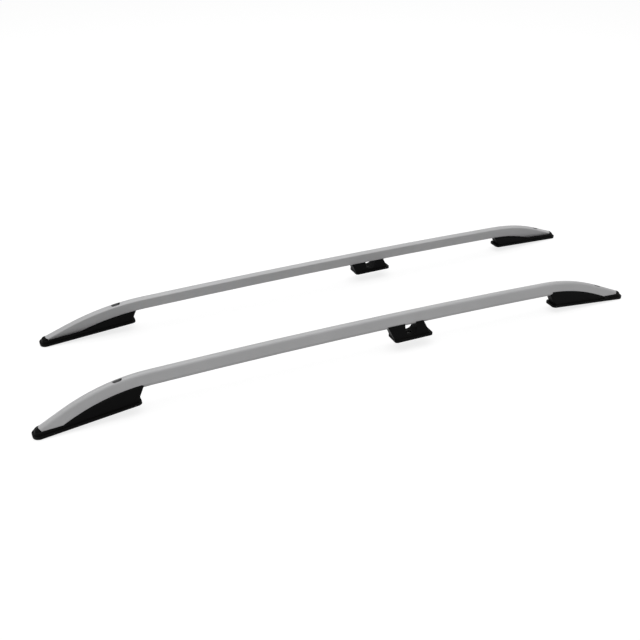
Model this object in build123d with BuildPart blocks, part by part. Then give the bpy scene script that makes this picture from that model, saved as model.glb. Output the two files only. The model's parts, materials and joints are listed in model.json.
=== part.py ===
"""Pair of aluminium roof side rails on moulded feet, as laid out side by side.

Each rail is a bent hollow extrusion that leans inwards. It stands on a front foot, a middle
bracket and a rear foot, which follow the crown of a vehicle roof. Every piece is modelled for
the left rail, with X to the rear, Y inwards and Z up, and the right rail is its mirror image.
"""
import os
from dataclasses import dataclass
from math import asin, cos, degrees, radians, sin, sqrt

from build123d import *

os.makedirs("parts", exist_ok=True)

# Layout of the pair
RAIL_LENGTH = 1800.0  # tip to tip of the feet
RAIL_SPACING = 443.0  # between the noses of the two rails
RAIL_STAGGER = 87.0  # the right rail lies this far behind the left one
TOE_ANGLE = 0.39  # each rail opens outwards to the rear, degrees

# Crest line of the rail, drawn in a plane that leans inwards
LEAN_ANGLE = 17.0
CREST_FOOT_Y = -7.2  # where the leaning plane meets the ground
CROWN_HEIGHT = 107.5
CROWN_RADIUS = 23500.0
CROWN_PEAK_X = -155.0
FRONT_BEND_RUN = 303.0  # from the front tip to the start of the front bend
REAR_BEND_RUN = 275.0
FRONT_BEND_RADIUS = 560.0
REAR_BEND_RADIUS = 515.0
FRONT_SLOPE = 24.8
REAR_SLOPE = 23.2
END_RUN = 140.0  # straight run past each bend, trimmed by the foot

# Section of the rail
SECTION_HEIGHT = 38.0
SECTION_TOP_WIDTH = 20.8  # between the corners, before they are rounded
SECTION_BOTTOM_WIDTH = 27.3
SECTION_INNER = 13.0  # inner side from the middle of the crest
SECTION_WALL = 2.5
INNER_TOP_RADIUS = 3.0
INNER_BOTTOM_RADIUS = 4.0
OUTER_BOTTOM_RADIUS = 7.0
SHOULDER_RADIUS = 11.0  # rounded shoulder between the top and the outer side

# Slots in the crest and their plugs
SLOT_LENGTH = 26.0
SLOT_WIDTH = 13.0
PLUG_CLEARANCE = 0.2
PLUG_RECESS = 1.4
PLUG_CEILING = 7.0  # underside of the plug, below the crest
PLUG_DEPTH = 12.0  # lower edge of its skirt
PLUG_SKIRT_WALL = 1.5
PRY_NOTCH_LENGTH = 5.0
PRY_NOTCH_WIDTH = 6.0

# Feet and bracket
FRONT_FOOT_LENGTH = 276.0
REAR_FOOT_LENGTH = 262.0
FRONT_BASE_TILT = 5.28
REAR_BASE_TILT = 3.95
FOOT_WIDTH = 46.0
NOSE_Y = -2.0  # middle of the nose
HEEL_Y = 10.0  # middle of the end that faces the bracket
NOSE_CORNER_RADIUS = 19.0
HEEL_CORNER_RADIUS = 11.0
BRACKET_LENGTH = 121.0
BRACKET_WIDTH = 51.0
BRACKET_X = 156.5
BRACKET_RISE = 28.2  # roof crown above the tips at the bracket
BRACKET_Y = 9.5
BRACKET_CORNER_RADIUS = 8.0
GASKET_THICKNESS = 2.5
FLANGE_THICKNESS = 4.0
FLANGE_LIP = 4.0
TOP_CORNER_RADIUS = 1.5
MOULDED_WALL = 3.5
RIB_THICKNESS = 2.5
OUTER_DRAFT = 0.18  # lateral travel of each wall for each millimetre of height
INNER_DRAFT = 0.08
NOSE_RUN = 26.0  # the nose is a quarter of an ellipse in side view
NOSE_RISE = 26.0
HEEL_OVERHANG = 0.6
HEEL_INSET = 8.0  # extra ledge of the flange at the heel
BRACKET_OUTER_DRAFT = 0.27
BRACKET_INNER_DRAFT = 0.13
BRACKET_SHEAR = 0.47  # the bracket rakes forwards
OUTER_WRAP = 6.0  # how far the moulding climbs the outer side of the rail
INNER_WRAP = 1.0
RIM_HEIGHT = 14.0  # rim around the end of the rail, above the roof
NOSE_TOP = 21.0  # where the nose meets the crest at the end of the rail
POCKET_FLOOR = 9.0  # floor that the end of the rail stands on
END_SETBACK = 19.0  # from the tip of the foot to the end of the rail
END_RADIUS = 16.0  # rounded end of the rail in plan
END_Y = -0.5  # middle of the rounded end
SEAT_CLEARANCE = 0.15
WINDOW_OFFSET = -6.5  # U-shaped window in the bracket, from the middle of its base
WINDOW_WIDTH = 36.0
WINDOW_FLOOR = 12.0
WINDOW_RADIUS = 15.0

# Roof bolt seats
FRONT_SLOT_RUN = 223.0  # from the tip to the roof bolt and the slot above it
REAR_SLOT_RUN = 89.0
FRONT_BOLT_Y = 14.5
REAR_BOLT_Y = 3.0
BOLT_BORE = 8.5
BOLT_HEAD_BORE = 14.5
SLEEVE_DIAMETER = 16.0
SLEEVE_FIT = 0.05
TOWER_DIAMETER = 24.0
BOLT_SEAT = 9.0  # top of the sleeves above the roof, which they stand on

# Screws that hold the mouldings to the rail
FRONT_SCREW_RUNS = (150.0, 251.0)
REAR_SCREW_RUNS = (155.0, 240.0)
BRACKET_SCREW_SPACING = 77.0
SCREW_ACROSS = 1.5  # inward of the middle of the rail
SCREW_DIAMETER = 6.0
SCREW_HEAD_DIAMETER = 11.0
SCREW_HEAD_HEIGHT = 3.6
SCREW_HEAD_TAPER = 25.0
SCREW_SOCKET = 4.0
SCREW_LENGTH = 20.0
SCREW_CLEARANCE = 0.4
SCREW_SEAT = 8.0  # moulded thickness under the rail at each screw
SCREW_TOWER_DIAMETER = 17.0
NUT_BODY_DIAMETER = 9.0
NUT_FLANGE_DIAMETER = 12.0
NUT_FLANGE_THICKNESS = 1.0
NUT_BULGE_DIAMETER = 11.5
NUT_BULGE_HEIGHT = 4.0
NUT_LENGTH = 13.0
NUT_FIT = 0.05

# Sizes of the blanks and the trimming cuts
BLANK_MARGIN = 16.0  # how far a moulding's blank stands above the underside of the crown
TRIM_REACH = 90.0  # reach of the trimming sweep beyond the rail

# Derived frames and heights
HALF_LENGTH = RAIL_LENGTH / 2
LEAN = radians(LEAN_ANGLE)
LEAN_PLANE = Plane(
    origin=(0, CREST_FOOT_Y, 0), x_dir=(1, 0, 0), z_dir=(0, -cos(LEAN), sin(LEAN))
)
BLANK_TOP = (CROWN_HEIGHT - SECTION_HEIGHT) * cos(LEAN) + BLANK_MARGIN


def draw_crest():
    """Crest line of the rail, from the front to the rear, in the leaning plane."""
    front_x = -HALF_LENGTH + FRONT_BEND_RUN
    rear_x = HALF_LENGTH - REAR_BEND_RUN
    front_angle = asin((CROWN_PEAK_X - front_x) / CROWN_RADIUS)
    rear_angle = asin((rear_x - CROWN_PEAK_X) / CROWN_RADIUS)
    crown_start = Vector(front_x, CROWN_HEIGHT - CROWN_RADIUS * (1 - cos(front_angle)))
    heading = Vector(cos(front_angle), sin(front_angle))
    with BuildLine() as crest:
        crown = JernArc(crown_start, heading, CROWN_RADIUS, -degrees(front_angle + rear_angle))
        front_turn = FRONT_SLOPE - degrees(front_angle)
        front_bend = JernArc(crown_start, -heading, FRONT_BEND_RADIUS, front_turn)
        Line(front_bend @ 1, front_bend @ 1 + (front_bend % 1) * END_RUN)
        rear_turn = REAR_SLOPE - degrees(rear_angle)
        rear_bend = JernArc(crown @ 1, crown % 1, REAR_BEND_RADIUS, -rear_turn)
        Line(rear_bend @ 1, rear_bend @ 1 + (rear_bend % 1) * END_RUN)
    return LEAN_PLANE.location * crest.wire()


CREST = draw_crest()


def rail_frame(x, depth=0.0):
    """Frame of the rail where its crest passes x: X along the rail, Y inwards, Z out of the crest."""
    low, high = 0.0, CREST.length
    while high - low > 0.001:
        middle = (low + high) / 2
        if CREST.position_at(middle, PositionMode.LENGTH).X < x:
            low = middle
        else:
            high = middle
    along = CREST.tangent_at(low, PositionMode.LENGTH)
    frame = Plane(
        CREST.position_at(low, PositionMode.LENGTH), along, LEAN_PLANE.z_dir.cross(along)
    )
    return frame.offset(-depth)


def section_plane():
    """Plane across the front end of the crest line, with Y up the lean."""
    along = CREST.tangent_at(0)
    return Plane(CREST.position_at(0), -LEAN_PLANE.z_dir, along)


def draw_section(grow=0.0):
    """Outline of the rail with the middle of its crest at the origin and the inner side at +X."""
    corners = (
        (SECTION_INNER, 0),
        (SECTION_INNER, -SECTION_HEIGHT),
        (SECTION_INNER - SECTION_BOTTOM_WIDTH, -SECTION_HEIGHT),
        (SECTION_INNER - SECTION_TOP_WIDTH, 0),
    )
    radii = (INNER_TOP_RADIUS, INNER_BOTTOM_RADIUS, OUTER_BOTTOM_RADIUS, SHOULDER_RADIUS)
    with BuildSketch() as outline:
        with BuildLine():
            FilletPolyline(*corners, radius=radii, close=True)
        make_face()
        if grow:
            offset(amount=grow)
    return outline.sketch


def sweep_rail(grow=0.0):
    """Solid bar of the rail's outline along the whole crest line."""
    with BuildPart() as bar:
        with BuildSketch(section_plane()):
            add(draw_section(grow))
        sweep(path=CREST)
    return bar.part


def sweep_above(outer, inner):
    """Everything over a line that lies outer and inner above the underside of the rail's two sides."""
    outer_side = SECTION_INNER - SECTION_BOTTOM_WIDTH
    fall = (inner - outer) / SECTION_BOTTOM_WIDTH
    low = -SECTION_HEIGHT
    with BuildPart() as block:
        with BuildSketch(section_plane()):
            with BuildLine():
                Polyline(
                    (-TRIM_REACH, low + outer - fall * (TRIM_REACH + outer_side)),
                    (TRIM_REACH, low + inner + fall * (TRIM_REACH - SECTION_INNER)),
                    (TRIM_REACH, TRIM_REACH),
                    (-TRIM_REACH, TRIM_REACH),
                    close=True,
                )
            make_face()
        sweep(path=CREST)
    return block.part


def nose_travel(height):
    """How far the nose of a foot has drawn back at a height above the roof."""
    if height < NOSE_RISE:
        return NOSE_RUN * (1 - sqrt(1 - (height / NOSE_RISE) ** 2))
    return NOSE_RUN + height - NOSE_RISE


@dataclass
class Seat:
    """A moulding under the rail: its frame on the roof, its footprint and its fasteners."""

    name: str
    plane: Plane  # on the roof, X along the moulding from its nose or its front edge, Z up
    inward: int  # +1 where the plane's Y points inwards, -1 where it points outwards
    length: float
    corners: tuple  # footprint as (x, inward), round from the outer front corner
    drafts: tuple  # travel of each corner, as (x, inward), for each millimetre of height
    rounded: tuple  # whether each corner also follows the rounded nose
    heights: tuple  # where the blank of the moulding has its sections
    radii: tuple  # corner radii on the roof
    heel_inset: float  # extra ledge of the flange at the heel
    bolt: tuple  # (x, inward) of the roof bolt
    screw_xs: tuple  # where the screws enter the rail, along the rail's own X

    @property
    def blank_height(self):
        return self.heights[-1]

    def footprint(self, height=0.0, lip=0.0, heel=0.0):
        """Outline at a height above the roof, drawn in by a lip all round and more at the heel."""
        middle_x = self.length / 2
        middle_y = sum(y for _, y in self.corners) / len(self.corners)
        fade = 1 - height / self.blank_height
        points = []
        radii = []
        for corner, draft, radius, nose in zip(self.corners, self.drafts, self.radii, self.rounded):
            x = corner[0] + draft[0] * height
            y = corner[1] + draft[1] * height
            if nose:
                x += nose_travel(height)
            x += lip if corner[0] < middle_x else -lip - heel
            y += lip if corner[1] < middle_y else -lip
            points.append((x, y * self.inward))
            radii.append(max(TOP_CORNER_RADIUS, (radius - lip) * fade))
        with BuildSketch() as outline:
            with BuildLine():
                FilletPolyline(*points, radius=radii, close=True)
            make_face()
        return outline.sketch

    def on_roof(self, place, height=0.0):
        """Frame at an (x, inward) place, at a height above the roof."""
        origin = self.plane.from_local_coords((place[0], place[1] * self.inward, height))
        return Plane(origin, self.plane.x_dir, self.plane.z_dir)

    def screw_frames(self):
        """Frames on the underside of the rail, one for each screw, Z up the lean."""
        frames = []
        for x in self.screw_xs:
            frame = rail_frame(x, SECTION_HEIGHT)
            frames.append(frame.shift_origin(frame.from_local_coords((0, SCREW_ACROSS, 0))))
        return frames


def foot_seat(name, end, length, tilt, bolt, screw_runs):
    """Seat of a foot at the front (end -1) or the rear (end +1) of the rail."""
    rise = radians(tilt)
    half = FOOT_WIDTH / 2
    return Seat(
        name=name,
        plane=Plane(
            (end * HALF_LENGTH, 0, 0), (-end * cos(rise), 0, sin(rise)), (end * sin(rise), 0, cos(rise))
        ),
        inward=-end,
        length=length,
        corners=((0, NOSE_Y - half), (length, HEEL_Y - half), (length, HEEL_Y + half), (0, NOSE_Y + half)),
        drafts=(
            (0, OUTER_DRAFT),
            (HEEL_OVERHANG, OUTER_DRAFT),
            (HEEL_OVERHANG, -INNER_DRAFT),
            (0, -INNER_DRAFT),
        ),
        rounded=(True, False, False, True),
        heights=(GASKET_THICKNESS, POCKET_FLOOR, RIM_HEIGHT, NOSE_TOP, BLANK_TOP),
        radii=(NOSE_CORNER_RADIUS, HEEL_CORNER_RADIUS, HEEL_CORNER_RADIUS, NOSE_CORNER_RADIUS),
        heel_inset=HEEL_INSET,
        bolt=bolt,
        screw_xs=tuple(end * (HALF_LENGTH - run) for run in screw_runs),
    )


def bracket_seat():
    """Seat of the bracket, which rakes forwards under the middle of the rail."""
    outer = BRACKET_Y - BRACKET_WIDTH / 2
    inner = BRACKET_Y + BRACKET_WIDTH / 2
    window = BRACKET_X + WINDOW_OFFSET
    return Seat(
        name="mid",
        plane=Plane((BRACKET_X - BRACKET_LENGTH / 2, 0, BRACKET_RISE)),
        inward=1,
        length=BRACKET_LENGTH,
        corners=((0, outer), (BRACKET_LENGTH, outer), (BRACKET_LENGTH, inner), (0, inner)),
        drafts=(
            (-BRACKET_SHEAR, BRACKET_OUTER_DRAFT),
            (-BRACKET_SHEAR, BRACKET_OUTER_DRAFT),
            (-BRACKET_SHEAR, -BRACKET_INNER_DRAFT),
            (-BRACKET_SHEAR, -BRACKET_INNER_DRAFT),
        ),
        rounded=(False,) * 4,
        heights=(GASKET_THICKNESS, BLANK_TOP - BRACKET_RISE),
        radii=(BRACKET_CORNER_RADIUS,) * 4,
        heel_inset=0.0,
        bolt=(BRACKET_LENGTH / 2 + WINDOW_OFFSET, BRACKET_Y),
        screw_xs=(window - BRACKET_SCREW_SPACING / 2, window + BRACKET_SCREW_SPACING / 2),
    )


FRONT = foot_seat(
    "front", -1, FRONT_FOOT_LENGTH, FRONT_BASE_TILT, (FRONT_SLOT_RUN, FRONT_BOLT_Y), FRONT_SCREW_RUNS
)
REAR = foot_seat(
    "rear", 1, REAR_FOOT_LENGTH, REAR_BASE_TILT, (REAR_SLOT_RUN, REAR_BOLT_Y), REAR_SCREW_RUNS
)
MID = bracket_seat()
FEET = (FRONT, REAR)
SEATS = (FRONT, MID, REAR)
SLOT_FRAMES = {
    FRONT.name: rail_frame(FRONT_SLOT_RUN - HALF_LENGTH),
    REAR.name: rail_frame(HALF_LENGTH - REAR_SLOT_RUN),
}


def block_below(seat, height):
    """Block that reaches down from a height above the roof, over the whole of a foot."""
    with BuildPart() as block:
        with BuildSketch(seat.plane.offset(height)):
            with Locations((seat.length / 2, 0)):
                Rectangle(seat.length + 2 * TRIM_REACH, 2 * TRIM_REACH)
        extrude(amount=-TRIM_REACH)
    return block.part


def block_ahead(seat, grow=0.0):
    """Block in front of the rounded end of the rail, which is grown by a clearance."""
    centre = (END_SETBACK + END_RADIUS, END_Y * seat.inward)
    with BuildPart() as block:
        with BuildSketch(seat.plane):
            with Locations((centre[0] - TRIM_REACH, centre[1])):
                Rectangle(2 * TRIM_REACH, 2 * TRIM_REACH)
            with Locations(centre):
                Circle(END_RADIUS + grow, mode=Mode.SUBTRACT)
        extrude(amount=TRIM_REACH)
    return block.part


def access_bore(seat):
    """Bore for the head of the roof bolt, from its seat up into the rail or the window."""
    top = rail_frame(seat.on_roof(seat.bolt).origin.X, SECTION_HEIGHT / 2).origin
    reach = seat.plane.to_local_coords(top).Z - BOLT_SEAT
    with BuildPart() as bore:
        with BuildSketch(seat.on_roof(seat.bolt, BOLT_SEAT)):
            Circle(BOLT_HEAD_BORE / 2)
        extrude(amount=reach)
    return bore.part


def build_rail():
    """Hollow bar with the two slots in its crest, the screw holes and its ends cut to the feet."""
    cuts = []
    for seat in FEET:
        cuts.append(block_below(seat, POCKET_FLOOR))
        cuts.append(block_ahead(seat))
        cuts.append(access_bore(seat))
    with BuildPart() as rail:
        with BuildSketch(section_plane()):
            add(draw_section())
            add(draw_section(-SECTION_WALL), mode=Mode.SUBTRACT)
        sweep(path=CREST)
        add(cuts, mode=Mode.SUBTRACT)
        for frame in SLOT_FRAMES.values():
            with BuildSketch(frame):
                SlotOverall(SLOT_LENGTH, SLOT_WIDTH)
            extrude(amount=-SLOT_WIDTH, mode=Mode.SUBTRACT)
        for seat in SEATS:
            for frame in seat.screw_frames():
                with BuildSketch(frame):
                    Circle(NUT_BODY_DIAMETER / 2 + NUT_FIT)
                extrude(amount=2 * SECTION_WALL, both=True, mode=Mode.SUBTRACT)
    return rail.part


def window_block(grow=0.0):
    """Block that fills the U-shaped window of the bracket, grown by a wall."""
    plane = Plane(MID.on_roof(MID.bolt, WINDOW_FLOOR - grow).origin, (1, 0, 0), (0, -1, 0))
    with BuildPart() as block:
        with BuildSketch(plane):
            with Locations((0, MID.blank_height / 2)):
                Rectangle(WINDOW_WIDTH + 2 * grow, MID.blank_height)
            fillet(vertices().group_by(Axis.Y)[0], WINDOW_RADIUS + grow)
        extrude(amount=BRACKET_WIDTH, both=True)
    return block.part


def build_cavity(seat):
    """Hollow of a moulding, open to the roof, less its towers and cross ribs."""
    keeps = [sweep_above(-MOULDED_WALL, -MOULDED_WALL)]
    if seat is MID:
        keeps.append(window_block(MOULDED_WALL))
    frames = seat.screw_frames()
    stations = [seat.plane.to_local_coords(frame.origin).X for frame in frames]
    stations.append(seat.bolt[0])
    stations.sort()
    with BuildPart() as cavity:
        for height in seat.heights:
            with BuildSketch(seat.plane.offset(height)):
                add(seat.footprint(height, FLANGE_LIP + MOULDED_WALL, seat.heel_inset))
        loft()
        add(keeps, mode=Mode.SUBTRACT)
        with BuildSketch(seat.on_roof(seat.bolt, GASKET_THICKNESS)):
            Circle(TOWER_DIAMETER / 2)
        extrude(amount=seat.blank_height, mode=Mode.SUBTRACT)
        for frame in frames:
            with BuildSketch(frame):
                Circle(SCREW_TOWER_DIAMETER / 2)
            extrude(amount=-SCREW_SEAT, mode=Mode.SUBTRACT)
        with BuildSketch(seat.plane.offset(GASKET_THICKNESS)):
            for before, after in zip(stations, stations[1:]):
                with Locations(((before + after) / 2, 0)):
                    Rectangle(RIB_THICKNESS, 2 * TRIM_REACH)
        extrude(amount=seat.blank_height, mode=Mode.SUBTRACT)
    return cavity.part


def build_moulding(seat):
    """Foot or bracket: a flange on the roof and walls that rise to cradle the rail."""
    above_wrap = sweep_above(OUTER_WRAP, INNER_WRAP)
    envelope = sweep_rail(SEAT_CLEARANCE)
    if seat in FEET:
        above_wrap = above_wrap - block_below(seat, RIM_HEIGHT) - (block_ahead(seat) & sweep_rail())
        envelope = envelope - block_below(seat, POCKET_FLOOR) - block_ahead(seat, SEAT_CLEARANCE)
    hollows = [envelope, build_cavity(seat), access_bore(seat)]
    if seat is MID:
        hollows.append(window_block())
    with BuildPart() as moulding:
        for height in seat.heights:
            with BuildSketch(seat.plane.offset(height)):
                add(seat.footprint(height, FLANGE_LIP, seat.heel_inset))
        loft()
        add(above_wrap, mode=Mode.SUBTRACT)
        with BuildSketch(seat.plane.offset(GASKET_THICKNESS)):
            add(seat.footprint())
        extrude(amount=FLANGE_THICKNESS)
        add(hollows, mode=Mode.SUBTRACT)
        with BuildSketch(seat.on_roof(seat.bolt)):
            Circle(SLEEVE_DIAMETER / 2 + SLEEVE_FIT)
        extrude(amount=BOLT_SEAT, mode=Mode.SUBTRACT)
        for frame in seat.screw_frames():
            with BuildSketch(frame):
                Circle(SCREW_DIAMETER / 2 + SCREW_CLEARANCE)
            extrude(amount=-SCREW_SEAT - SCREW_HEAD_HEIGHT, mode=Mode.SUBTRACT)
            with BuildSketch(frame):
                Circle(NUT_FLANGE_DIAMETER / 2 + SCREW_CLEARANCE)
            extrude(amount=-NUT_FLANGE_THICKNESS - SCREW_CLEARANCE, mode=Mode.SUBTRACT)
    return moulding.part


def build_gasket(seat):
    """Rubber pad under a moulding, with a hole for the sleeve."""
    with BuildPart() as gasket:
        with BuildSketch(seat.plane):
            add(seat.footprint())
        extrude(amount=GASKET_THICKNESS)
        with BuildSketch(seat.on_roof(seat.bolt)):
            Circle(SLEEVE_DIAMETER / 2 + SLEEVE_FIT)
        extrude(amount=GASKET_THICKNESS, mode=Mode.SUBTRACT)
    return gasket.part


def build_sleeve(seat):
    """Steel sleeve that takes the load of the roof bolt straight to the roof."""
    with BuildPart() as sleeve:
        with BuildSketch(seat.on_roof(seat.bolt)):
            Circle(SLEEVE_DIAMETER / 2)
            Circle(BOLT_BORE / 2, mode=Mode.SUBTRACT)
        extrude(amount=BOLT_SEAT)
    return sleeve.part


def build_plug(seat):
    """Plug that follows the crest a little below it, with a notch at the rear to pry it out."""
    frame = SLOT_FRAMES[seat.name]
    length = SLOT_LENGTH - 2 * PLUG_CLEARANCE
    width = SLOT_WIDTH - 2 * PLUG_CLEARANCE
    below_crest = sweep_rail(-PLUG_RECESS)
    with BuildPart() as plug:
        with BuildSketch(frame.offset(-PLUG_DEPTH)):
            SlotOverall(length, width)
        extrude(amount=2 * PLUG_DEPTH)
        add(below_crest, mode=Mode.INTERSECT)
        with BuildSketch(frame.offset(-PLUG_DEPTH)):
            SlotOverall(length - 2 * PLUG_SKIRT_WALL, width - 2 * PLUG_SKIRT_WALL)
        extrude(amount=PLUG_DEPTH - PLUG_CEILING, mode=Mode.SUBTRACT)
        with BuildSketch(frame.offset(-PLUG_CEILING + PLUG_SKIRT_WALL)):
            with Locations(((length - PRY_NOTCH_LENGTH) / 2, 0)):
                Rectangle(PRY_NOTCH_LENGTH, PRY_NOTCH_WIDTH)
        extrude(amount=PLUG_CEILING, mode=Mode.SUBTRACT)
    return plug.part


def build_rivet_nuts(seat):
    """Blind rivet nuts set in the underside of the rail."""
    bore = SCREW_DIAMETER / 2 + NUT_FIT
    flange = NUT_FLANGE_DIAMETER / 2
    body = NUT_BODY_DIAMETER / 2
    bulge = NUT_BULGE_DIAMETER / 2
    inside = SECTION_WALL + NUT_FIT
    with BuildPart() as nuts:
        for frame in seat.screw_frames():
            half_plane = Plane(frame.origin, frame.x_dir, -frame.y_dir)
            with BuildSketch(half_plane):
                with BuildLine():
                    Polyline(
                        (bore, -NUT_FLANGE_THICKNESS),
                        (flange, -NUT_FLANGE_THICKNESS),
                        (flange, -NUT_FIT),
                        (body, -NUT_FIT),
                        (body, inside),
                        (bulge, inside),
                        (bulge, inside + NUT_BULGE_HEIGHT),
                        (body, inside + NUT_BULGE_HEIGHT),
                        (body, NUT_LENGTH),
                        (bore, NUT_LENGTH),
                        close=True,
                    )
                make_face()
            revolve(axis=Axis(frame.origin, frame.z_dir))
    return nuts.part


def build_screws(seat):
    """Button-head screws driven up into the rivet nuts."""
    with BuildPart() as screws:
        for frame in seat.screw_frames():
            with BuildSketch(frame.offset(-SCREW_SEAT)):
                Circle(SCREW_DIAMETER / 2)
            extrude(amount=SCREW_LENGTH)
            with BuildSketch(frame.offset(-SCREW_SEAT)):
                Circle(SCREW_HEAD_DIAMETER / 2)
            extrude(amount=-SCREW_HEAD_HEIGHT, taper=SCREW_HEAD_TAPER)
            with BuildSketch(frame.offset(-SCREW_SEAT - SCREW_HEAD_HEIGHT)):
                RegularPolygon(SCREW_SOCKET / 2, 6, major_radius=False)
            extrude(amount=SCREW_HEAD_HEIGHT / 2, mode=Mode.SUBTRACT)
    return screws.part


def build_left_side():
    """All the pieces of the left rail by name."""
    pieces = {"rail": build_rail()}
    for seat in SEATS:
        kind = "bracket" if seat is MID else "foot"
        pieces[f"{seat.name}_{kind}"] = build_moulding(seat)
        pieces[f"{seat.name}_gasket"] = build_gasket(seat)
        pieces[f"{seat.name}_sleeve"] = build_sleeve(seat)
        pieces[f"{seat.name}_rivet_nuts"] = build_rivet_nuts(seat)
        pieces[f"{seat.name}_screws"] = build_screws(seat)
    for seat in FEET:
        pieces[f"{seat.name}_plug"] = build_plug(seat)
    return pieces


LEFT_PLACE = Location((-RAIL_STAGGER / 2, -RAIL_SPACING / 2, 0), (0, 0, -TOE_ANGLE))
RIGHT_PLACE = Location((RAIL_STAGGER / 2, -RAIL_SPACING / 2, 0), (0, 0, -TOE_ANGLE))

for piece_name, piece in build_left_side().items():
    left = piece.moved(LEFT_PLACE)
    left.label = f"left_{piece_name}"
    export_step(left, f"parts/{left.label}.step")
    right = mirror(piece.moved(RIGHT_PLACE), about=Plane.XZ)
    right.label = f"right_{piece_name}"
    export_step(right, f"parts/{right.label}.step")
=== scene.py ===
"""Looks of a pair of aluminium roof side rails on black moulded feet."""
import json
from math import atan, cos, radians, sin
from typing import NamedTuple

import bmesh
import bpy
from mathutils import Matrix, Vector
from mathutils.bvhtree import BVHTree
from numpy.polynomial import Polynomial


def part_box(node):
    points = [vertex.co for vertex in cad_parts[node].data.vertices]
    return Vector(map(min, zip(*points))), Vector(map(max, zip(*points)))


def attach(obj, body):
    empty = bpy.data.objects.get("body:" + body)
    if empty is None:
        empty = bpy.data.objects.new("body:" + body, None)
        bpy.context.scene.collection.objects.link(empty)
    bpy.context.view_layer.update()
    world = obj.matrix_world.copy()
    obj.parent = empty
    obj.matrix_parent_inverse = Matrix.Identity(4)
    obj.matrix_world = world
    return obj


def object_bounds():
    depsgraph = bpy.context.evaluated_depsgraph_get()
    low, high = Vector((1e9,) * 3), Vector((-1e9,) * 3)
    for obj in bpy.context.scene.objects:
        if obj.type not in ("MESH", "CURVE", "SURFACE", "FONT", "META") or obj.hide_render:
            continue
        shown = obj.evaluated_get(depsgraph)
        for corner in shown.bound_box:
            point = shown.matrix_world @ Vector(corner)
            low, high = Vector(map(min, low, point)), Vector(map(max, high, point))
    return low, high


class Finish(NamedTuple):
    """Ranges of one finish: linear colours, roughness, and bump strength and depth in metres."""

    dark: tuple
    light: tuple
    roughness: tuple
    bump: tuple
    metallic: float = 0.0
    specular: float = 0.5


# Camera fitted to the outlines of both rails: metres, degrees, and millimetres for the lens
CAMERA_TARGET = Vector((-0.0671, 0.0161, 0.0))
CAMERA_YAW = 24.3
CAMERA_PITCH = 29.89
CAMERA_DISTANCE = 2.6696
CAMERA_LENS = 50.0
CAMERA_SENSOR = 36.0

# Lips, in metres: the edge of each foot where it climbs the outer side of the rail
LIP_NOSE_GAP = {"front": 0.074, "rear": 0.048}  # from the tip of the foot
LIP_HEEL_GAP = {"front": 0.004, "rear": 0.007}  # from the other end of the foot
LIP_DROP = {"front": 0.0245, "rear": 0.0232}  # from the crest of the rail, square to it
LIP_HEIGHT = 0.008
LIP_THICKNESS = 0.0012  # from the rail to the outside, at the top
LIP_STANDOFF = 0.0002  # from what the lip lies on
LIP_LEAST = 0.0004  # from what the lip lies on to its outside, where it is thinnest
LIP_COLUMNS = 70
LIP_ROWS = 10

# Crest of the rail, found with rays from the outer side, in metres
CREST_DEGREE = 5
CREST_PASSES = 6
CREST_DIP = 0.0001  # a deeper place in the crest is the slot
PROBE_START = 1.0
PROBE_STEP = 0.001
PROBE_HALVINGS = 12

# Studio
FLOOR_SIZE = 40.0
FLOOR_SHADE = 0.38
FLOOR_GLOW = 0.78
BACKDROP_GLOW = 1.0
SOFTBOX_SIZE = (5.0, 4.0)
SOFTBOX_PLACE = Vector((0.0, 0.9, 3.2))
SOFTBOX_POWER = 54.0
ZENITH_LIGHT = 0.55
HORIZON_LIGHT = 0.25

# Finishes
ALUMINIUM = Finish(
    dark=(0.485, 0.485, 0.49),
    light=(0.515, 0.515, 0.52),
    roughness=(0.40, 0.50),
    bump=(0.06, 0.0003),
    metallic=0.2,
)
PLASTIC = Finish(
    dark=(0.0040, 0.0040, 0.0041),
    light=(0.0066, 0.0066, 0.0067),
    roughness=(0.50, 0.62),
    bump=(0.25, 0.0004),
    specular=0.05,
)
# Dark grey plug, its colour darkened further as painted shade of its recessed slot
PLUG = Finish(
    dark=(0.039, 0.039, 0.040),
    light=(0.055, 0.055, 0.056),
    roughness=(0.55, 0.70),
    bump=(0.2, 0.0003),
    specular=0.3,
)
RUBBER = Finish(
    dark=(0.007, 0.007, 0.007),
    light=(0.011, 0.011, 0.011),
    roughness=(0.75, 0.90),
    bump=(0.15, 0.0004),
    specular=0.2,
)
# Zinc of the sleeves, its colour darkened as painted shade of the bracket's window
ZINC = Finish(
    dark=(0.15, 0.15, 0.145),
    light=(0.22, 0.22, 0.21),
    roughness=(0.25, 0.42),
    bump=(0.1, 0.0002),
    metallic=1.0,
)

# Textures, in cells to the metre
ALUMINIUM_DRIFT = 9.0
ALUMINIUM_GRAIN = 1800.0
PLASTIC_DRIFT = 30.0
PLASTIC_CELLS = 900.0
PLUG_GRAIN = 1500.0
RUBBER_BLOOM = 120.0
ZINC_CLOUD = 260.0

# Noise: layers of detail, their weight, and the values between which most of it lies
NOISE_DETAIL = 4.0
DRIFT_DETAIL = 2.0
GRAIN_DETAIL = 3.0
NOISE_ROUGHNESS = 0.55
NOISE_LOW = 0.3
NOISE_HIGH = 0.7

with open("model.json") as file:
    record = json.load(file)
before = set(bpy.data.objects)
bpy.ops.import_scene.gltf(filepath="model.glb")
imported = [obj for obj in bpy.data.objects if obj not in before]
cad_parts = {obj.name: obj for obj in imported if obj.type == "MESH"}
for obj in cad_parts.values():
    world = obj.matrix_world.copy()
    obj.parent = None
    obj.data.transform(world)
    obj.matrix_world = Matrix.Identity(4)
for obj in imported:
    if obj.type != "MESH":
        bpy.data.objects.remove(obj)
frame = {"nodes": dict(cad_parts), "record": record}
cad_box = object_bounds()


def link(tree, source, target):
    """Joins an output socket to an input socket."""
    tree.links.new(source, target)


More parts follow.
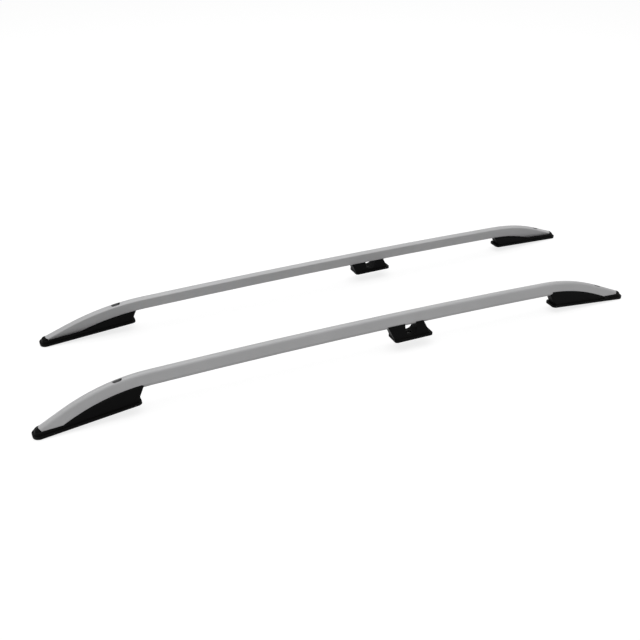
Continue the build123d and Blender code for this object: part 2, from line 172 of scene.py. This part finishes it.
def noise(tree, coordinates, scale, detail=NOISE_DETAIL):
    """Noise texture at a number of cells to the metre."""
    node = tree.nodes.new("ShaderNodeTexNoise")
    node.inputs["Scale"].default_value = scale
    node.inputs["Detail"].default_value = detail
    node.inputs["Roughness"].default_value = NOISE_ROUGHNESS
    link(tree, coordinates, node.inputs["Vector"])
    return node.outputs["Fac"]


def ramp_range(tree, value, low, high):
    """Number that drifts between two limits with a texture's value."""
    node = tree.nodes.new("ShaderNodeMapRange")
    node.inputs["From Min"].default_value = NOISE_LOW
    node.inputs["From Max"].default_value = NOISE_HIGH
    node.inputs["To Min"].default_value = low
    node.inputs["To Max"].default_value = high
    link(tree, value, node.inputs["Value"])
    return node.outputs["Result"]


def two_tone(tree, value, dark, light):
    """Colour that drifts between two tones with a texture's value."""
    node = tree.nodes.new("ShaderNodeValToRGB")
    ends = ((NOISE_LOW, dark), (NOISE_HIGH, light))
    for element, (position, colour) in zip(node.color_ramp.elements, ends):
        element.position = position
        element.color = (*colour, 1.0)
    link(tree, value, node.inputs["Fac"])
    return node.outputs["Color"]


def bump(tree, height, strength, depth):
    """Normal raised by a texture's value, with the depth in metres."""
    node = tree.nodes.new("ShaderNodeBump")
    node.inputs["Strength"].default_value = strength
    node.inputs["Distance"].default_value = depth
    link(tree, height, node.inputs["Height"])
    return node.outputs["Normal"]


def start_material(name):
    """New node material with its tree, its shader and object coordinates."""
    material = bpy.data.materials.new(name)
    material.use_nodes = True
    tree = material.node_tree
    shader = tree.nodes["Principled BSDF"]
    coordinates = tree.nodes.new("ShaderNodeTexCoord").outputs["Object"]
    return material, tree, shader, coordinates


def drive_shader(tree, shader, finish, tone, rough, relief):
    """Lets texture values drive a shader's colour, roughness and normal within a finish."""
    link(tree, two_tone(tree, tone, finish.dark, finish.light), shader.inputs["Base Color"])
    link(tree, ramp_range(tree, rough, *finish.roughness), shader.inputs["Roughness"])
    link(tree, bump(tree, relief, *finish.bump), shader.inputs["Normal"])
    shader.inputs["Metallic"].default_value = finish.metallic
    shader.inputs["Specular IOR Level"].default_value = finish.specular


def satin_aluminium():
    """Etched and anodised extrusion: a fine even grain with a soft drift in tone."""
    material, tree, shader, coordinates = start_material("satin_aluminium")
    drift = noise(tree, coordinates, ALUMINIUM_DRIFT, DRIFT_DETAIL)
    grain = noise(tree, coordinates, ALUMINIUM_GRAIN, GRAIN_DETAIL)
    drive_shader(tree, shader, ALUMINIUM, tone=drift, rough=grain, relief=grain)
    return material


def grained_plastic():
    """Black moulding with a fine leather grain."""
    material, tree, shader, coordinates = start_material("black_plastic")
    drift = noise(tree, coordinates, PLASTIC_DRIFT)
    cells = tree.nodes.new("ShaderNodeTexVoronoi")
    cells.inputs["Scale"].default_value = PLASTIC_CELLS
    link(tree, coordinates, cells.inputs["Vector"])
    leather = cells.outputs["Distance"]
    drive_shader(tree, shader, PLASTIC, tone=drift, rough=drift, relief=leather)
    return material


def mottled(name, finish, scale):
    """Material whose colour, roughness and normal all follow one noise."""
    material, tree, shader, coordinates = start_material(name)
    mottle = noise(tree, coordinates, scale)
    drive_shader(tree, shader, finish, tone=mottle, rough=mottle, relief=mottle)
    return material


def make_finishes():
    """Material for each slot in the record; the zinc is darkened as painted shade of the
    bracket's window.
    """
    return {
        "rail_aluminium": satin_aluminium(),
        "black_plastic": grained_plastic(),
        "plug_plastic": mottled("plug_plastic", PLUG, PLUG_GRAIN),
        "gasket_rubber": mottled("gasket_rubber", RUBBER, RUBBER_BLOOM),
        "zinc_steel": mottled("zinc_steel", ZINC, ZINC_CLOUD),
    }


def dress_nodes(finishes):
    """Gives every CAD node the material of its slot in the record."""
    for part in frame["record"]["subparts"]:
        mesh = frame["nodes"][part["node"]].data
        mesh.materials.clear()
        mesh.materials.append(finishes[part["material_slot"]])


def outer_reach(side, *names):
    """Function that gives how far out some CAD nodes come at an x and a height, or None."""
    meshes = [frame["nodes"][name].data for name in names]
    trees = [
        BVHTree.FromPolygons([v.co for v in m.vertices], [p.vertices for p in m.polygons])
        for m in meshes
    ]

    def reach(x, z):
        start = Vector((x, side * PROBE_START, z))
        hits = [tree.ray_cast(start, Vector((0, -side, 0)))[0] for tree in trees]
        return max((side * hit.y for hit in hits if hit), default=None)

    return reach


def crest_height(reach, x):
    """Greatest height at which a node is met at an x."""
    low = cad_box[1].z
    while reach(x, low) is None:
        low -= PROBE_STEP
    high = low + PROBE_STEP
    for _ in range(PROBE_HALVINGS):
        middle = (low + high) / 2
        if reach(x, middle) is None:
            high = middle
        else:
            low = middle
    return low


def smooth_crest(xs, heights):
    """Curve along the crest of the rail that bridges its slot."""
    kept = list(zip(xs, heights))
    for _ in range(CREST_PASSES):
        curve = Polynomial.fit(*zip(*kept), CREST_DEGREE)
        kept = [(x, z) for x, z in kept if z > curve(x) - CREST_DIP]
    return curve


def lip_stations(foot, end):
    """The x of each column of a lip, from its nose to its heel."""
    low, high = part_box(foot)
    if end == "front":
        nose, heel = low.x + LIP_NOSE_GAP[end], high.x - LIP_HEEL_GAP[end]
    else:
        nose, heel = high.x - LIP_NOSE_GAP[end], low.x + LIP_HEEL_GAP[end]
    return [nose + (heel - nose) * column / LIP_COLUMNS for column in range(LIP_COLUMNS + 1)]


def lip_column(reach, side, x, top):
    """Outer and inner points of a lip at one x, from its lower edge to its top."""
    bottom = top - LIP_HEIGHT
    while reach(x, bottom) is None:
        bottom += PROBE_STEP
    heights = [bottom + (top - bottom) * row / LIP_ROWS for row in range(LIP_ROWS + 1)]
    reaches = [reach(x, z) for z in heights]
    first, last = reaches[0] + LIP_LEAST, reaches[-1] + LIP_THICKNESS
    outer, inner = [], []
    for row, (z, met) in enumerate(zip(heights, reaches)):
        straight = first + (last - first) * row / LIP_ROWS
        outer.append((x, side * max(straight, met + LIP_LEAST), z))
        inner.append((x, side * (met + LIP_STANDOFF), z))
    return outer, inner


def lip_faces():
    """Faces that close a lip's outer points, which come first, and its inner ones to a shell."""
    step = LIP_ROWS + 1
    count = step * (LIP_COLUMNS + 1)
    faces = []
    for column in range(LIP_COLUMNS):
        for row in range(LIP_ROWS):
            a = column * step + row
            quad = (a, a + 1, a + step + 1, a + step)
            faces.append(quad)
            faces.append(tuple(count + v for v in reversed(quad)))
        for a in (column * step, column * step + LIP_ROWS):
            faces.append((a, a + step, a + step + count, a + count))
    for row in range(LIP_ROWS):
        for a in (row, LIP_COLUMNS * step + row):
            faces.append((a, a + 1, a + 1 + count, a + count))
    return faces


def turn_outwards(mesh):
    """Makes all faces of a closed mesh look outwards."""
    shell = bmesh.new()
    shell.from_mesh(mesh)
    bmesh.ops.recalc_face_normals(shell, faces=shell.faces)
    shell.to_mesh(mesh)
    shell.free()


def make_lip(hand, end, finish):
    """Raised edge of one foot, a thin closed shell that lies on the foot and on the rail."""
    side = -1 if hand == "left" else 1
    rail, foot = f"{hand}_rail", f"{hand}_{end}_foot"
    rail_reach = outer_reach(side, rail)
    reach = outer_reach(side, rail, foot)
    xs = lip_stations(foot, end)
    crest = smooth_crest(xs, [crest_height(rail_reach, x) for x in xs])
    slope = crest.deriv()
    outer, inner = [], []
    for x in xs:
        top = crest(x) - LIP_DROP[end] / cos(atan(slope(x)))
        outside, inside = lip_column(reach, side, x, top)
        outer += outside
        inner += inside
    mesh = bpy.data.meshes.new(f"{hand}_{end}_lip")
    mesh.from_pydata(outer + inner, [], lip_faces())
    turn_outwards(mesh)
    mesh.materials.append(finish)
    lip = bpy.data.objects.new(mesh.name, mesh)
    bpy.context.scene.collection.objects.link(lip)
    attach(lip, "root")


def make_lips(finish):
    """Lips of all four feet."""
    for hand in ("left", "right"):
        for end in ("front", "rear"):
            make_lip(hand, end, finish)


def seen_rays(tree):
    """1 for what the camera sees, straight or in a reflection, and 0 for light on the object."""
    path = tree.nodes.new("ShaderNodeLightPath")
    seen = path.outputs["Is Camera Ray"]
    for ray in ("Is Glossy Ray", "Is Transmission Ray"):
        either = tree.nodes.new("ShaderNodeMath")
        either.operation = "MAXIMUM"
        link(tree, seen, either.inputs[0])
        link(tree, path.outputs[ray], either.inputs[1])
        seen = either.outputs["Value"]
    return seen


def floor_material():
    """Floor that is white in the picture and in reflections, and keeps the shadows."""
    material = bpy.data.materials.new("floor")
    material.use_nodes = True
    tree = material.node_tree
    tree.nodes.remove(tree.nodes["Principled BSDF"])
    shade = tree.nodes.new("ShaderNodeBsdfDiffuse")
    shade.inputs["Color"].default_value = (FLOOR_SHADE, FLOOR_SHADE, FLOOR_SHADE, 1.0)
    glow = tree.nodes.new("ShaderNodeEmission")
    glow.inputs["Strength"].default_value = FLOOR_GLOW
    lit = tree.nodes.new("ShaderNodeAddShader")
    link(tree, shade.outputs["BSDF"], lit.inputs[0])
    link(tree, glow.outputs["Emission"], lit.inputs[1])
    mix = tree.nodes.new("ShaderNodeMixShader")
    link(tree, seen_rays(tree), mix.inputs["Fac"])
    link(tree, shade.outputs["BSDF"], mix.inputs[1])
    link(tree, lit.outputs["Shader"], mix.inputs[2])
    link(tree, mix.outputs["Shader"], tree.nodes["Material Output"].inputs["Surface"])
    return material


def make_floor():
    """Plain floor under the feet."""
    bpy.ops.mesh.primitive_plane_add(size=FLOOR_SIZE, location=(0, 0, cad_box[0].z))
    floor = bpy.context.object
    floor.name = "floor"
    floor.data.materials.append(floor_material())


def make_world():
    """Soft surround, brighter overhead than at the horizon, that is seen as a white backdrop."""
    world = bpy.data.worlds.new("studio")
    bpy.context.scene.world = world
    world.use_nodes = True
    tree = world.node_tree
    direction = tree.nodes.new("ShaderNodeTexCoord").outputs["Generated"]
    parts = tree.nodes.new("ShaderNodeSeparateXYZ")
    link(tree, direction, parts.inputs["Vector"])
    fade = tree.nodes.new("ShaderNodeMapRange")
    fade.interpolation_type = "SMOOTHSTEP"
    fade.inputs["To Min"].default_value = HORIZON_LIGHT
    fade.inputs["To Max"].default_value = ZENITH_LIGHT
    link(tree, parts.outputs["Z"], fade.inputs["Value"])
    strength = tree.nodes.new("ShaderNodeMix")
    link(tree, seen_rays(tree), strength.inputs["Factor"])
    link(tree, fade.outputs["Result"], strength.inputs["A"])
    strength.inputs["B"].default_value = BACKDROP_GLOW
    background = tree.nodes["Background"]
    link(tree, strength.outputs["Result"], background.inputs["Strength"])
    background.inputs["Color"].default_value = (1.0, 1.0, 1.0, 1.0)


def make_softbox():
    """One large soft light overhead."""
    light = bpy.data.lights.new("softbox", "AREA")
    light.shape = "RECTANGLE"
    light.size, light.size_y = SOFTBOX_SIZE
    light.energy = SOFTBOX_POWER
    softbox = bpy.data.objects.new("softbox", light)
    softbox.location = SOFTBOX_PLACE
    bpy.context.scene.collection.objects.link(softbox)


def make_camera():
    """Camera at the photograph's angle."""
    yaw, pitch = radians(CAMERA_YAW), radians(CAMERA_PITCH)
    back = Vector((-sin(yaw) * cos(pitch), -cos(yaw) * cos(pitch), sin(pitch)))
    data = bpy.data.cameras.new("camera")
    data.lens = CAMERA_LENS
    data.sensor_width = CAMERA_SENSOR
    camera = bpy.data.objects.new("camera", data)
    camera.location = CAMERA_TARGET + back * CAMERA_DISTANCE
    camera.rotation_euler = (-back).to_track_quat("-Z", "Y").to_euler()
    bpy.context.scene.collection.objects.link(camera)
    bpy.context.scene.camera = camera


materials = make_finishes()
dress_nodes(materials)
make_lips(materials["black_plastic"])
make_floor()
make_world()
make_softbox()
make_camera()
bpy.context.scene.view_settings.view_transform = "Standard"
